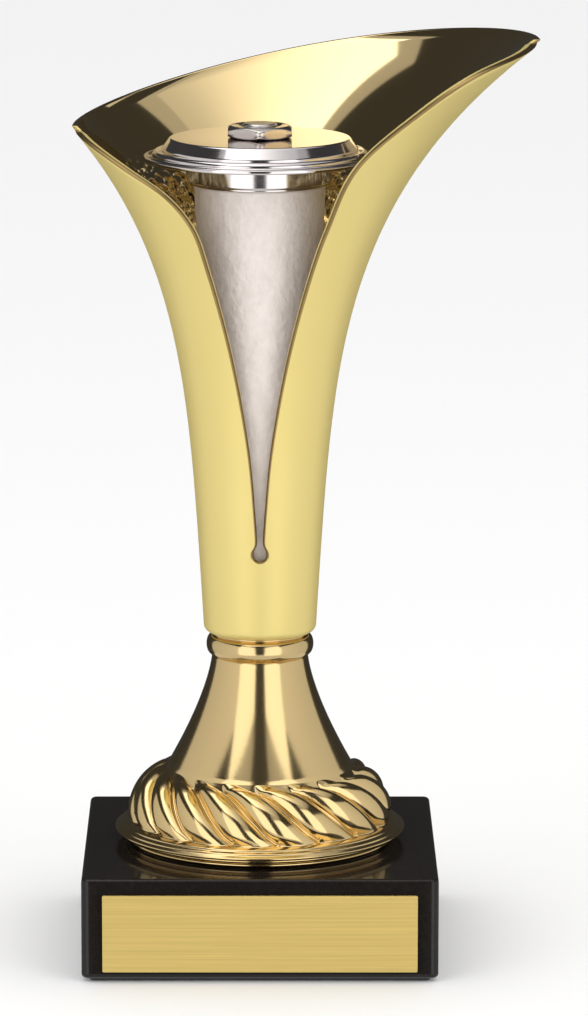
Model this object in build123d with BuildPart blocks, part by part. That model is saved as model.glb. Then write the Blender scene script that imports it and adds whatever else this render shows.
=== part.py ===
from build123d import *
from math import atan, cos, radians, sin
import os

# A clamped cup trophy: one tie rod pulls the cap, the silver cone, the slashed
# trumpet cup, a collar ring and a gadrooned riser down on a stone base.
# Millimetres, +Z up. The origin is on the rod's axis, under the felt.
# The plate and the slash face -Y.

# Driving dimensions -------------------------------------------------------------
felt_thickness = 0.8
felt_margin = 1.5            # how far the felt stays back from the stone's edge

base_width = 72.0            # the stone is square
base_height = 20.6
base_corner = 1.5            # round of the four upright edges
base_bevel = 0.5             # bevel round the top and bottom faces
pocket_depth = 12.5          # counterbore under the stone, for the lower nut
pocket_clearance = 1.0       # radial, round the flat washer

plate_margin = 4.25          # stone left showing at each end of the plate
plate_height = 15.9
plate_drop = 0.8             # how far the plate sits under the middle of the stone
plate_thickness = 0.5
plate_corner = 0.8
tape_thickness = 0.2
tape_margin = 1.0

rod_radius = 4.0             # M8
hole_clearance = 0.4         # radial, round the rod in every piece it passes through
thread_clearance = 0.05      # radial, between the rod and a nut's bore
register_clearance = 0.1     # radial, between a spigot and the bore it sits in

riser_height = 39.0          # from the stone to the collar ring's seat
drum_inset = 0.3             # the drum is this much inside the bulb
drum_height = 2.2
flange_overhang = 2.7        # the flange is this much outside the bulb
flange_thickness = 1.0
flange_steps = 2             # fine steps between the flange and the gadroons
step_height = 0.5
step_width = 0.8
bulb_radius = 27.2           # the gadrooned bulb at its widest
bulb_crown = 0.2             # how far its middle stands proud of its foot
bulb_round = 8.9             # radius of the bulb from its foot to its shoulder
bulb_height = 7.0            # height of the bulb's widest ring over the stone
shoulder_set_back = 5.8      # the top of the bulb is this much inside its widest ring
shoulder_ledge = 2.4         # the neck starts this much inside the shoulder
shoulder_height = 15.8
neck_radius = 9.85           # at the top
neck_power = 1.446           # the neck opens out as drop ** neck_power
riser_wall = 3.0
neck_web = 5.0               # thickness of the riser's closed top
gadroon_count = 18
gadroon_lean = 45.0          # degrees from upright, running down to the right
gadroon_bend = 13.4          # radius along which one groove follows the bulb
gadroon_radius = 1.7         # section radius of a groove
gadroon_sweep = 84.0         # degrees of bend that a groove runs for
gadroon_face = 35.0          # degrees that the bulb faces up at a groove's middle

spigot_radius = 7.0
riser_spigot = 1.5
cup_spigot = 2.0

ring_height = 4.6
ring_waist = 10.2
bead_height = 4.0
bead_radius = 11.0

cup_height = 122.1           # from the cup's foot to its right tip
cup_foot_radius = 11.45
cup_mouth_radius = 57.1      # outer radius at the height of the right tip
cup_taper = 7.4              # the straight part of the growth from foot to mouth
cup_power = 4                # the rest of it grows as height ** cup_power
cup_wall = 1.6
cup_floor = 3.0
cup_foot_round = 1.6
cup_over = 4.0               # the trumpet is spun this much too tall, then trimmed
tip_drop = 17.5              # how far the left tip is under the right one
tip_over = 0.3               # the trimming curves meet this far outside the tips
trim_margin = 20.0           # how far the trimming cuts run past the trumpet
rim_bow = 2.0                # how far the back rim arches over the line between its tips
slot_foot_height = 18.2      # centre of the round hole that ends the slash
slot_foot_radius = 1.5
slot_width = 0.8             # the slash is this wide where it meets the hole
slash_points = [(1.0, 26.5), (2.2, 39.5), (5.7, 59.2), (10.4, 77.2)]   # half width, height
slash_shoulder = (13.5, 86.3)
left_flare = [(0.21, 0.36), (0.57, 0.67)]                # shares of the way to the tip
right_flare = [(0.13, 0.36), (0.40, 0.66), (0.70, 0.90)]

cap_drop = 20.1              # how far the cap's top is under the cup's right tip
cone_foot_radius = 9.2
cone_top_radius = 13.4
cone_wall = 1.2
cone_floor = 2.0

seat_ring_radius = 14.6
seat_ring_height = 4.8
seat_ring_bore = 9.0
seat_ring_spigot = 3.0
cone_relief = 0.2            # extra room, because the cone narrows under its mouth

cap_radius = 23.8
cap_height = 4.6             # from the seat ring to the mirror top
cap_lip = 0.9
cap_bead_radius = 21.9
cap_bead_width = 1.9
cap_bead_height = 1.0
cap_ledge = 0.5              # upright step between the bead and the bevel
cap_top_radius = 18.3
cap_spigot = 3.0

nut_flats = 13.0
nut_crown = 1.10             # the corners are turned off to this share of the flats
top_nut_height = 2.5
base_nut_height = 6.5
rod_stand_out = 0.4          # how far the rod stands out of each nut
rod_chamfer = 0.6
washer_radius = 12.0
washer_thickness = 1.6
lock_washer_radius = 6.8
lock_washer_thickness = 2.0
lock_washer_split = 1.2

# Levels and radii worked out from them ------------------------------------------
base_foot = felt_thickness
base_top = base_foot + base_height
ring_foot = base_top + riser_height
cup_foot = ring_foot + ring_height
cone_foot = cup_foot + cup_floor
cap_top = cup_foot + cup_height - cap_drop
cap_foot = cap_top - cap_height
seat_ring_foot = cap_foot - seat_ring_height
top_nut_foot = cap_top
rod_top = top_nut_foot + top_nut_height + rod_stand_out

washer_top = base_foot + pocket_depth
lock_washer_top = washer_top - washer_thickness
base_nut_top = lock_washer_top - lock_washer_thickness
rod_foot = base_nut_top - base_nut_height - rod_stand_out

hole_radius = rod_radius + hole_clearance
nut_bore = rod_radius + thread_clearance
register_bore = spigot_radius + register_clearance
pocket_radius = washer_radius + pocket_clearance
plate_width = base_width - 2 * plate_margin
drum_radius = bulb_radius - drum_inset
flange_radius = bulb_radius + flange_overhang
shoulder_radius = bulb_radius - shoulder_set_back
neck_foot_radius = shoulder_radius - shoulder_ledge
neck_rise = riser_height - shoulder_height
cone_mouth = cone_top_radius - cone_wall
cup_flare = cup_mouth_radius - cup_foot_radius - cup_taper
left_tip_height = cup_height - tip_drop


def cup_radius(height):
    """Outer radius of the cup at a height over its foot."""
    share = height / cup_height
    return cup_foot_radius + cup_taper * share + cup_flare * share ** cup_power


def cup_lean(height):
    """Angle of the cup's side from upright, in radians."""
    share = height / cup_height
    return atan((cup_taper + cup_flare * cup_power * share ** (cup_power - 1)) / cup_height)


def cup_inside(height):
    """Point of the inner surface, square across the wall from the outer one."""
    lean = cup_lean(height)
    return (cup_radius(height) - cup_wall * cos(lean), cup_foot + height + cup_wall * sin(lean))


def neck_outside(height):
    """Outer radius of the riser's neck at a height over the stone."""
    drop = (riser_height - height) / neck_rise
    return neck_radius + (neck_foot_radius - neck_radius) * drop ** neck_power


def between(start, end, share):
    """Point on the way from start to end, with a share for each direction."""
    return (
        start[0] + (end[0] - start[0]) * share[0],
        start[1] + (end[1] - start[1]) * share[1],
    )


def save(name, label):
    name.part.label = label
    export_step(name.part, f"parts/{label}.step")


os.makedirs("parts", exist_ok=True)

# Felt sheet under the stone -----------------------------------------------------
felt_width = base_width - 2 * felt_margin
with BuildPart() as felt_pad:
    with BuildSketch():
        RectangleRounded(felt_width, felt_width, base_corner)
    extrude(amount=felt_thickness)
save(felt_pad, "felt_pad")

# Stone block, with a hole for the rod and a pocket for the lower nut ------------
with BuildPart() as base_block:
    with BuildSketch(Plane.XY.offset(base_foot)):
        RectangleRounded(base_width, base_width, base_corner)
    extrude(amount=base_height)
    chamfer(base_block.faces().sort_by(Axis.Z)[-1].edges(), base_bevel)
    chamfer(base_block.faces().sort_by(Axis.Z)[0].edges(), base_bevel)
    with BuildSketch(Plane.XY.offset(base_foot)):
        Circle(pocket_radius)
    extrude(amount=pocket_depth, mode=Mode.SUBTRACT)
    with BuildSketch(Plane.XY.offset(base_foot)):
        Circle(hole_radius)
    extrude(amount=base_height, mode=Mode.SUBTRACT)
save(base_block, "base_block")

# Plate and the tape that holds it -----------------------------------------------
plate_level = base_foot + base_height / 2 - plate_drop
stone_front = Plane.XZ.offset(base_width / 2)
tape_front = Plane.XZ.offset(base_width / 2 + tape_thickness)

with BuildPart() as plate_tape:
    with BuildSketch(stone_front):
        with Locations((0, plate_level)):
            Rectangle(plate_width - 2 * tape_margin, plate_height - 2 * tape_margin)
    extrude(amount=tape_thickness)
save(plate_tape, "plate_tape")

with BuildPart() as engraving_plate:
    with BuildSketch(tape_front):
        with Locations((0, plate_level)):
            RectangleRounded(plate_width, plate_height, plate_corner)
    extrude(amount=plate_thickness)
save(engraving_plate, "engraving_plate")

# Riser: drum, stepped flange, gadrooned bulb and flared neck --------------------
# One groove follows the bulb on a slant; a ring of them leaves the gadroons proud.
bulb_edge = bulb_radius - bulb_crown
bulb_level = base_top + bulb_height
bulb_centre = Vector(bulb_radius + bulb_crown - bulb_round, 0, bulb_level)
groove_out = Vector(cos(radians(gadroon_face)), 0, sin(radians(gadroon_face)))
groove_up = Vector(-sin(radians(gadroon_face)), 0, cos(radians(gadroon_face)))
groove_lean = radians(gadroon_lean)
groove_run = groove_up * cos(groove_lean) - Vector(0, 1, 0) * sin(groove_lean)
groove_middle = bulb_centre + groove_out * bulb_round
groove_centre = groove_middle - groove_out * gadroon_bend
groove_half = radians(gadroon_sweep / 2)
groove_reach = groove_out * cos(groove_half) * gadroon_bend
groove_rise = groove_run * sin(groove_half) * gadroon_bend

with BuildPart() as groove:
    with BuildLine() as groove_line:
        ThreePointArc(
            groove_centre + groove_reach - groove_rise,
            groove_middle,
            groove_centre + groove_reach + groove_rise,
        )
    with BuildSketch(Plane(origin=groove_line.line @ 0, z_dir=groove_line.line % 0)):
        Circle(gadroon_radius)
    sweep()

flange_top = base_top + drum_height + flange_thickness
bulb_foot = flange_top + flange_steps * step_height
shoulder_level = base_top + shoulder_height
stairs = []
for step in range(flange_steps):
    stair_radius = flange_radius - (step + 1) * step_width
    stairs.append((stair_radius, flange_top + step * step_height))
    stairs.append((stair_radius, flange_top + (step + 1) * step_height))

neck_heights = [shoulder_height + neck_rise * n / 5 for n in range(6)]
neck_line = [(neck_outside(height), base_top + height) for height in neck_heights]
bore_rise = neck_rise - neck_web
bore_heights = [shoulder_height + bore_rise * n / 4 for n in range(5)]
bore_line = [(neck_outside(height) - riser_wall, base_top + height) for height in bore_heights]
hollow_radius = bulb_edge - riser_wall

with BuildPart() as riser_bell:
    with BuildSketch(Plane.XZ):
        with BuildLine():
            Polyline(
                (hole_radius, ring_foot + riser_spigot),
                (hole_radius, bore_line[-1][1]),
                bore_line[-1],
            )
            Spline(*bore_line)
            Polyline(
                bore_line[0],
                (hollow_radius, bulb_level),
                (hollow_radius, base_top),
                (drum_radius, base_top),
                (drum_radius, base_top + drum_height),
                (flange_radius, base_top + drum_height),
                (flange_radius, flange_top),
                *stairs,
                (bulb_edge, bulb_foot),
            )
            ThreePointArc(
                (bulb_edge, bulb_foot),
                (groove_middle.X, groove_middle.Z),
                (shoulder_radius, shoulder_level),
            )
            Line((shoulder_radius, shoulder_level), neck_line[0])
            Spline(*neck_line)
            Polyline(
                neck_line[-1],
                (spigot_radius, ring_foot),
                (spigot_radius, ring_foot + riser_spigot),
                (hole_radius, ring_foot + riser_spigot),
            )
        make_face()
    revolve(axis=Axis.Z)
    with PolarLocations(0, gadroon_count):
        add(groove.part, mode=Mode.SUBTRACT)
save(riser_bell, "riser_bell")

# Collar ring between the riser and the cup --------------------------------------
with BuildPart() as collar_ring:
    with BuildSketch(Plane.XZ):
        with BuildLine():
            Polyline(
                (ring_waist, ring_foot + bead_height),
                (ring_waist, ring_foot + ring_height),
                (register_bore, ring_foot + ring_height),
                (register_bore, ring_foot),
                (ring_waist, ring_foot),
            )
            ThreePointArc(
                (ring_waist, ring_foot),
                (bead_radius, ring_foot + bead_height / 2),
                (ring_waist, ring_foot + bead_height),
            )
        make_face()
    revolve(axis=Axis.Z)
save(collar_ring, "collar_ring")

# Cup: a spun trumpet, slashed open in front and cut to a slanting rim -----------
side_rise = cup_height + cup_over - cup_foot_round
side_heights = [cup_foot_round + side_rise * n / 10 for n in range(11)]
side_line = [(cup_radius(height), cup_foot + height) for height in side_heights]
inner_rise = cup_height + cup_over - cup_floor
inner_line = [cup_inside(cup_floor + inner_rise * n / 10) for n in range(11)]
foot_turn = (cup_radius(cup_foot_round) - cup_foot_round, cup_foot + cup_foot_round)

slot_level = cup_foot + slot_foot_height
left_tip = (-cup_radius(left_tip_height) - tip_over, cup_foot + left_tip_height)
right_tip = (cup_radius(cup_height) + tip_over, cup_foot + cup_height)
left_shoulder = (-slash_shoulder[0], cup_foot + slash_shoulder[1])
right_shoulder = (slash_shoulder[0], cup_foot + slash_shoulder[1])
slash_right = [(width, cup_foot + height) for width, height in slash_points]
slash_right.append(right_shoulder)
slash_right += [between(right_shoulder, right_tip, share) for share in right_flare]
slash_right.append(right_tip)
slash_left = [(-width, cup_foot + height) for width, height in slash_points]
slash_left.append(left_shoulder)
slash_left += [between(left_shoulder, left_tip, share) for share in left_flare]
slash_left.append(left_tip)
trim_reach = cup_mouth_radius + trim_margin
trim_level = cup_foot + cup_height + trim_margin
over_the_rim = [
    right_tip,
    (trim_reach, right_tip[1]),
    (trim_reach, trim_level),
    (-trim_reach, trim_level),
    (-trim_reach, left_tip[1]),
    left_tip,
]

with BuildPart() as cup_shell:
    with BuildSketch(Plane.YZ):
        with BuildLine():
            CenterArc(foot_turn, cup_foot_round, -90, 90)
            Spline(*side_line)
            Line(side_line[-1], inner_line[-1])
            Spline(*inner_line)
            Polyline(
                inner_line[0],
                (inner_line[0][0], cup_foot + cup_floor),
                (hole_radius, cup_foot + cup_floor),
                (hole_radius, cup_foot - cup_spigot),
                (spigot_radius, cup_foot - cup_spigot),
                (spigot_radius, cup_foot),
                (foot_turn[0], cup_foot),
            )
        make_face()
    revolve(axis=Axis.Z)
    # The back half is cut along the bowed rim.
    with BuildSketch(Plane.XZ):
        with BuildLine():
            SagittaArc(left_tip, right_tip, rim_bow)
            Polyline(*over_the_rim)
        make_face()
    extrude(amount=-trim_reach, mode=Mode.SUBTRACT)
    # The front half is cut along the slash.
    with BuildSketch(Plane.XZ):
        with BuildLine():
            Spline(*slash_left)
            Line(slash_left[0], slash_right[0])
            Spline(*slash_right)
            Polyline(*over_the_rim)
        make_face()
    extrude(amount=trim_reach, mode=Mode.SUBTRACT)
    # A round hole ends the slash, and a short slot joins the two.
    with BuildSketch(Plane.XZ):
        with Locations((0, slot_level)):
            Circle(slot_foot_radius)
        with BuildLine():
            Polyline(
                (-slot_width / 2, slot_level),
                (slot_width / 2, slot_level),
                slash_right[0],
                slash_left[0],
                close=True,
            )
        make_face()
    extrude(amount=trim_reach, mode=Mode.SUBTRACT)
save(cup_shell, "cup_shell")

# Silver cone standing inside the cup --------------------------------------------
cone_bore = cone_foot_radius - cone_wall
with BuildPart() as insert_cone:
    with BuildSketch(Plane.XZ):
        with BuildLine():
            Polyline(
                (hole_radius, cone_foot),
                (cone_foot_radius, cone_foot),
                (cone_top_radius, seat_ring_foot),
                (cone_mouth, seat_ring_foot),
                (cone_bore, cone_foot + cone_floor),
                (hole_radius, cone_foot + cone_floor),
                close=True,
            )
        make_face()
    revolve(axis=Axis.Z)
save(insert_cone, "insert_cone")

# Chrome seat ring on the cone's mouth -------------------------------------------
ring_spigot_radius = cone_mouth - register_clearance - cone_relief
with BuildPart() as seat_ring:
    with BuildSketch(Plane.XZ):
        with BuildLine():
            Polyline(
                (seat_ring_bore, seat_ring_foot - seat_ring_spigot),
                (ring_spigot_radius, seat_ring_foot - seat_ring_spigot),
                (ring_spigot_radius, seat_ring_foot),
                (seat_ring_radius, seat_ring_foot),
                (seat_ring_radius, cap_foot),
                (seat_ring_bore, cap_foot),
                close=True,
            )
        make_face()
    revolve(axis=Axis.Z)
save(seat_ring, "seat_ring")

# Stepped chrome cap -------------------------------------------------------------
cap_spigot_radius = seat_ring_bore - register_clearance
bead_foot = (cap_bead_radius, cap_foot + cap_lip)
bead_top = (bead_foot[0] - cap_bead_width, bead_foot[1] + cap_bead_height)
bead_crest = (bead_foot[0] - cap_bead_width / 4, bead_top[1] - cap_bead_height / 8)
with BuildPart() as cap_plate:
    with BuildSketch(Plane.XZ):
        with BuildLine():
            Polyline(
                (hole_radius, cap_top),
                (hole_radius, cap_foot - cap_spigot),
                (cap_spigot_radius, cap_foot - cap_spigot),
                (cap_spigot_radius, cap_foot),
                (cap_radius, cap_foot),
                (cap_radius, cap_foot + cap_lip),
                bead_foot,
            )
            ThreePointArc(bead_foot, bead_crest, bead_top)
            Polyline(
                bead_top,
                (bead_top[0], bead_top[1] + cap_ledge),
                (cap_top_radius, cap_top),
                (hole_radius, cap_top),
            )
        make_face()
    revolve(axis=Axis.Z)
save(cap_plate, "cap_plate")

# Tie rod, its two nuts and the washers in the stone's pocket --------------------
with BuildPart() as tie_rod:
    with BuildSketch(Plane.XY.offset(rod_foot)):
        Circle(rod_radius)
    extrude(amount=rod_top - rod_foot)
    chamfer(tie_rod.edges().filter_by(GeomType.CIRCLE), rod_chamfer)
save(tie_rod, "tie_rod")


def hex_nut(foot, height):
    """A hexagon nut with a corner towards the front and bevelled corners."""
    with BuildPart() as nut:
        with BuildSketch(Plane.XY.offset(foot)):
            RegularPolygon(nut_flats / 2, 6, major_radius=False, rotation=30)
            Circle(nut_bore, mode=Mode.SUBTRACT)
        extrude(amount=height)
        with BuildSketch(Plane.XY.offset(foot)):
            Circle(nut_flats / 2 * nut_crown)
        extrude(amount=height, mode=Mode.INTERSECT)
    return nut


top_nut = hex_nut(top_nut_foot, top_nut_height)
save(top_nut, "top_nut")

base_nut = hex_nut(base_nut_top - base_nut_height, base_nut_height)
save(base_nut, "base_nut")

with BuildPart() as base_washer:
    with BuildSketch(Plane.XY.offset(lock_washer_top)):
        Circle(washer_radius)
        Circle(hole_radius, mode=Mode.SUBTRACT)
    extrude(amount=washer_thickness)
save(base_washer, "base_washer")

with BuildPart() as lock_washer:
    with BuildSketch(Plane.XY.offset(base_nut_top)):
        Circle(lock_washer_radius)
        Circle(hole_radius - hole_clearance / 2, mode=Mode.SUBTRACT)
        with Locations((lock_washer_radius, 0)):
            Rectangle(lock_washer_radius, lock_washer_split, mode=Mode.SUBTRACT)
    extrude(amount=lock_washer_thickness)
save(lock_washer, "lock_washer")
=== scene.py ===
import bpy
import math
import numpy as np
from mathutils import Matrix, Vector, noise


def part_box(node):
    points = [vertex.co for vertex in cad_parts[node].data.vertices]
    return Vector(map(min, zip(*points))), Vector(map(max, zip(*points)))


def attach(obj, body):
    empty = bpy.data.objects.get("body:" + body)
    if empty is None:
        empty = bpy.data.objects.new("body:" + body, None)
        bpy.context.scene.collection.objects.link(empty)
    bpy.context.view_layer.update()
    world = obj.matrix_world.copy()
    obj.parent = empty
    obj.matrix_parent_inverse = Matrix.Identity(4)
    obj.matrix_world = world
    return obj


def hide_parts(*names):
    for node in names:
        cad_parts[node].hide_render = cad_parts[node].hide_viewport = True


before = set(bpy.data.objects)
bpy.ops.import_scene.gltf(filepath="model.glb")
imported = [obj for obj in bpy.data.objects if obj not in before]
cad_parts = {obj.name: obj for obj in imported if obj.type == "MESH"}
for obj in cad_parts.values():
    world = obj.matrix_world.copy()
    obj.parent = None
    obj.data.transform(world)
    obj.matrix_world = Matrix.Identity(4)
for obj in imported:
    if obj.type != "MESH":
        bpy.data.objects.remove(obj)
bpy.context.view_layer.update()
print("frame loaded:", sorted(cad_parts))

mm = 0.001
rootBody = "root"


def corners(node):
    low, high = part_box(node)
    return [v / mm for v in low], [v / mm for v in high]


# heights and radii that the frame fixes, in millimetres
stoneLow, stoneHigh = corners("base_block")
riserLow, riserHigh = corners("riser_bell")
collarLow, collarHigh = corners("collar_ring")
cupLow = corners("cup_shell")[0]
coneLow, coneHigh = corners("insert_cone")
seatLow, seatHigh = corners("seat_ring")
capLow, capHigh = corners("cap_plate")
nutLow, nutHigh = corners("top_nut")
baseNutLow, baseNutHigh = corners("base_nut")
rodLow, rodHigh = corners("tie_rod")
plateLow, plateHigh = corners("engraving_plate")
feltLow, feltHigh = corners("felt_pad")
holeRadius = rodHigh[0] + 0.4       # the rod's clearance hole, the same in every piece
spigotRadius = 7.0                  # riser and cup both centre in the collar on this


# ---- mesh helpers
def skin(name, rings, material, loop=False):
    # joins a stack of rings with quads; loop joins the last ring to the first, otherwise both ends are capped
    rings = np.asarray(rings, float)
    count, around = rings.shape[:2]
    verts = (rings.reshape(-1, 3) * mm).tolist()
    faces = []
    for i in range(count if loop else count - 1):
        a, b = i * around, ((i + 1) % count) * around
        for j in range(around):
            k = (j + 1) % around
            faces.append((a + j, a + k, b + k, b + j))
    if not loop:
        for ring, flip in ((0, True), (count - 1, False)):
            middle = rings[ring].mean(axis=0) * mm
            verts.append(middle.tolist())
            hub = len(verts) - 1
            for j in range(around):
                k = (j + 1) % around
                tri = (ring * around + j, ring * around + k, hub)
                faces.append(tri[::-1] if flip else tri)
    mesh = bpy.data.meshes.new(name)
    mesh.from_pydata(verts, [], faces)
    mesh.polygons.foreach_set("use_smooth", [True] * len(faces))
    mesh.materials.append(material)
    mesh.update()
    piece = bpy.data.objects.new(name, mesh)
    bpy.context.scene.collection.objects.link(piece)
    return piece


def place(piece, node):
    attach(piece, rootBody)
    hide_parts(node)
    return piece


def rounded(outline, radius, loop=True, steps=4):
    # softens each corner of an outline and keeps the flats between them flat
    mostOfSide = 0.4            # a corner takes at most this share of a side
    holdOff = 0.15              # and the flat starts this share of its reach past it
    pts = [np.array(p[:2], float) for p in outline]
    radii = [p[2] if len(p) > 2 else radius for p in outline]
    out = []
    for i, p in enumerate(pts):
        if not loop and i in (0, len(pts) - 1):
            out.append(p)
            continue
        toPrev = pts[i - 1] - p
        toNext = pts[(i + 1) % len(pts)] - p
        reach = min(radii[i], mostOfSide * np.linalg.norm(toPrev), mostOfSide * np.linalg.norm(toNext))
        toPrev = toPrev / np.linalg.norm(toPrev)
        toNext = toNext / np.linalg.norm(toNext)
        if reach < 1e-4:
            out.append(p)
            continue
        start, end = p + toPrev * reach, p + toNext * reach
        out.append(start + toPrev * reach * holdOff)
        for n in range(steps + 1):
            u = n / steps
            out.append(start * (1 - u) ** 2 + p * 2 * u * (1 - u) + end * u ** 2)
        out.append(end + toNext * reach * holdOff)
    return out


def circle(radius, z, turn):
    # one ring; its radius and height may change round the turn
    return np.stack([radius * np.cos(turn), radius * np.sin(turn), np.broadcast_to(z, turn.shape)], axis=-1)


def turned(profile, around=192):
    # spins (radius, height) points about the rod's axis
    turn = np.linspace(0, 2 * math.pi, around, endpoint=False)
    return [circle(radius, z, turn) for radius, z in profile]


def smoothCurve(points, perSpan=24):
    # a curve through the points, with each span eased by its neighbours
    p = np.asarray(points, float)
    p = np.vstack([2 * p[0] - p[1], p, 2 * p[-1] - p[-2]])
    out = []
    for i in range(1, len(p) - 2):
        p0, p1, p2, p3 = p[i - 1], p[i], p[i + 1], p[i + 2]
        k = [max(np.linalg.norm(b - a), 1e-9) ** 0.5 for a, b in ((p0, p1), (p1, p2), (p2, p3))]
        m1 = (p2 - p1) + k[1] * ((p1 - p0) / k[0] - (p2 - p0) / (k[0] + k[1]))
        m2 = (p2 - p1) + k[1] * ((p3 - p2) / k[2] - (p3 - p1) / (k[1] + k[2]))
        for n in range(perSpan):
            u = n / perSpan
            out.append((2 * u**3 - 3 * u**2 + 1) * p1 + (u**3 - 2 * u**2 + u) * m1
                       + (-2 * u**3 + 3 * u**2) * p2 + (u**3 - u**2) * m2)
    out.append(p[-2])
    return np.array(out)


# ---- material helpers
def newMaterial(name, base, metallic, roughness, **fixed):
    material = bpy.data.materials.new(name)
    material.use_nodes = True
    nodes = material.node_tree.nodes
    shader = nodes["Principled BSDF"]
    shader.inputs["Base Color"].default_value = (*base, 1)
    shader.inputs["Metallic"].default_value = metallic
    shader.inputs["Roughness"].default_value = roughness
    for socket, value in fixed.items():
        shader.inputs[socket.replace("_", " ")].default_value = value
    return material, nodes, material.node_tree.links, shader


def newGroup(name, inputs, outputs):
    group = bpy.data.node_groups.new(name, "ShaderNodeTree")
    for label, kind, value in inputs:
        socket = group.interface.new_socket(label, in_out="INPUT", socket_type=kind)
        if value is not None:
            socket.default_value = value
    for label, kind in outputs:
        group.interface.new_socket(label, in_out="OUTPUT", socket_type=kind)
    start = group.nodes.new("NodeGroupInput")
    end = group.nodes.new("NodeGroupOutput")
    return group, group.nodes, group.links, start, end


def mathNode(nodes, links, operation, a, b):
    node = nodes.new("ShaderNodeMath")
    node.operation = operation
    for socket, value in zip(node.inputs, (a, b)):
        if isinstance(value, (int, float)):
            socket.default_value = value
        else:
            links.new(value, socket)
    return node.outputs[0]


def noiseNode(nodes, links, vector, scale, detail=4.0, rough=0.5):
    node = nodes.new("ShaderNodeTexNoise")
    node.inputs["Detail"].default_value = detail
    node.inputs["Roughness"].default_value = rough
    links.new(vector, node.inputs["Vector"])
    if isinstance(scale, (int, float)):
        node.inputs["Scale"].default_value = scale
    else:
        links.new(scale, node.inputs["Scale"])
    return node.outputs["Fac"]


def stretchNode(nodes, links, vector, scale):
    node = nodes.new("ShaderNodeMapping")
    node.inputs["Scale"].default_value = scale
    links.new(vector, node.inputs["Vector"])
    return node.outputs["Vector"]


def handledGroup():
    # faint smears and fine wipe marks: a roughness that wanders and a height for bump
    group, nodes, links, start, end = newGroup(
        "handled",
        [("Base Roughness", "NodeSocketFloat", 0.1), ("Smear", "NodeSocketFloat", 0.05),
         ("Smear Scale", "NodeSocketFloat", 60.0), ("Grain Scale", "NodeSocketFloat", 3000.0)],
        [("Roughness", "NodeSocketFloat"), ("Height", "NodeSocketFloat")])
    spot = nodes.new("ShaderNodeTexCoord").outputs["Object"]
    smear = noiseNode(nodes, links, spot, start.outputs["Smear Scale"], 5.0, 0.6)
    centred = mathNode(nodes, links, "SUBTRACT", smear, 0.5)
    wander = mathNode(nodes, links, "MULTIPLY", centred, start.outputs["Smear"])
    rough = mathNode(nodes, links, "ADD", wander, start.outputs["Base Roughness"])
    grain = noiseNode(nodes, links, spot, start.outputs["Grain Scale"], 2.0, 0.5)
    links.new(mathNode(nodes, links, "MAXIMUM", rough, 0.01), end.inputs["Roughness"])
    links.new(grain, end.inputs["Height"])
    return group


def toneGroup():
    # lets a plated colour drift between two tones
    group, nodes, links, start, end = newGroup(
        "tone",
        [("Light", "NodeSocketColor", (1, 1, 1, 1)), ("Deep", "NodeSocketColor", (0.8, 0.8, 0.8, 1)),
         ("Scale", "NodeSocketFloat", 20.0)],
        [("Color", "NodeSocketColor")])
    spot = nodes.new("ShaderNodeTexCoord").outputs["Object"]
    drift = noiseNode(nodes, links, spot, start.outputs["Scale"], 3.0, 0.55)
    mix = nodes.new("ShaderNodeMix")
    mix.data_type = "RGBA"
    links.new(drift, mix.inputs["Factor"])
    links.new(start.outputs["Deep"], mix.inputs["A"])
    links.new(start.outputs["Light"], mix.inputs["B"])
    links.new(mix.outputs["Result"], end.inputs["Color"])
    return group


handled = handledGroup()
tone = toneGroup()


def addGroup(nodes, group, **values):
    node = nodes.new("ShaderNodeGroup")
    node.node_tree = group
    for label, value in values.items():
        node.inputs[label.replace("_", " ")].default_value = value
    return node


def addBump(nodes, links, shader, height, strength, distance):
    bump = nodes.new("ShaderNodeBump")
    bump.inputs["Strength"].default_value = strength
    bump.inputs["Distance"].default_value = distance
    links.new(height, bump.inputs["Height"])
    links.new(bump.outputs["Normal"], shader.inputs["Normal"])
    return bump


def rampColour(nodes, links, shader, mask, deep, light, low=0.0, high=1.0):
    # colours the surface by a mask, deep below the low mark and light above the high one
    ramp = nodes.new("ShaderNodeValToRGB")
    for i, (mark, colour) in enumerate(((low, deep), (high, light))):
        ramp.color_ramp.elements[i].position = mark
        ramp.color_ramp.elements[i].color = (*colour, 1)
    links.new(mask, ramp.inputs["Fac"])
    links.new(ramp.outputs["Color"], shader.inputs["Base Color"])


wipeDepth = 0.00002         # how deep the wipe marks in plating are, in metres
toneScale = 25.0            # the noise scale of the drift in its colour


def platedMetal(name, light, deep, roughness, smear, smearScale, grainScale, grain, metallic=1.0):
    material, nodes, links, shader = newMaterial(name, light, metallic, roughness)
    colour = addGroup(nodes, tone, Light=(*light, 1), Deep=(*deep, 1), Scale=toneScale)
    colour.name = "tone"
    links.new(colour.outputs["Color"], shader.inputs["Base Color"])
    touch = addGroup(nodes, handled, Base_Roughness=roughness, Smear=smear,
                     Smear_Scale=smearScale, Grain_Scale=grainScale)
    links.new(touch.outputs["Roughness"], shader.inputs["Roughness"])
    if grain > 0:
        addBump(nodes, links, shader, touch.outputs["Height"], grain, wipeDepth)
    return material


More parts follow.
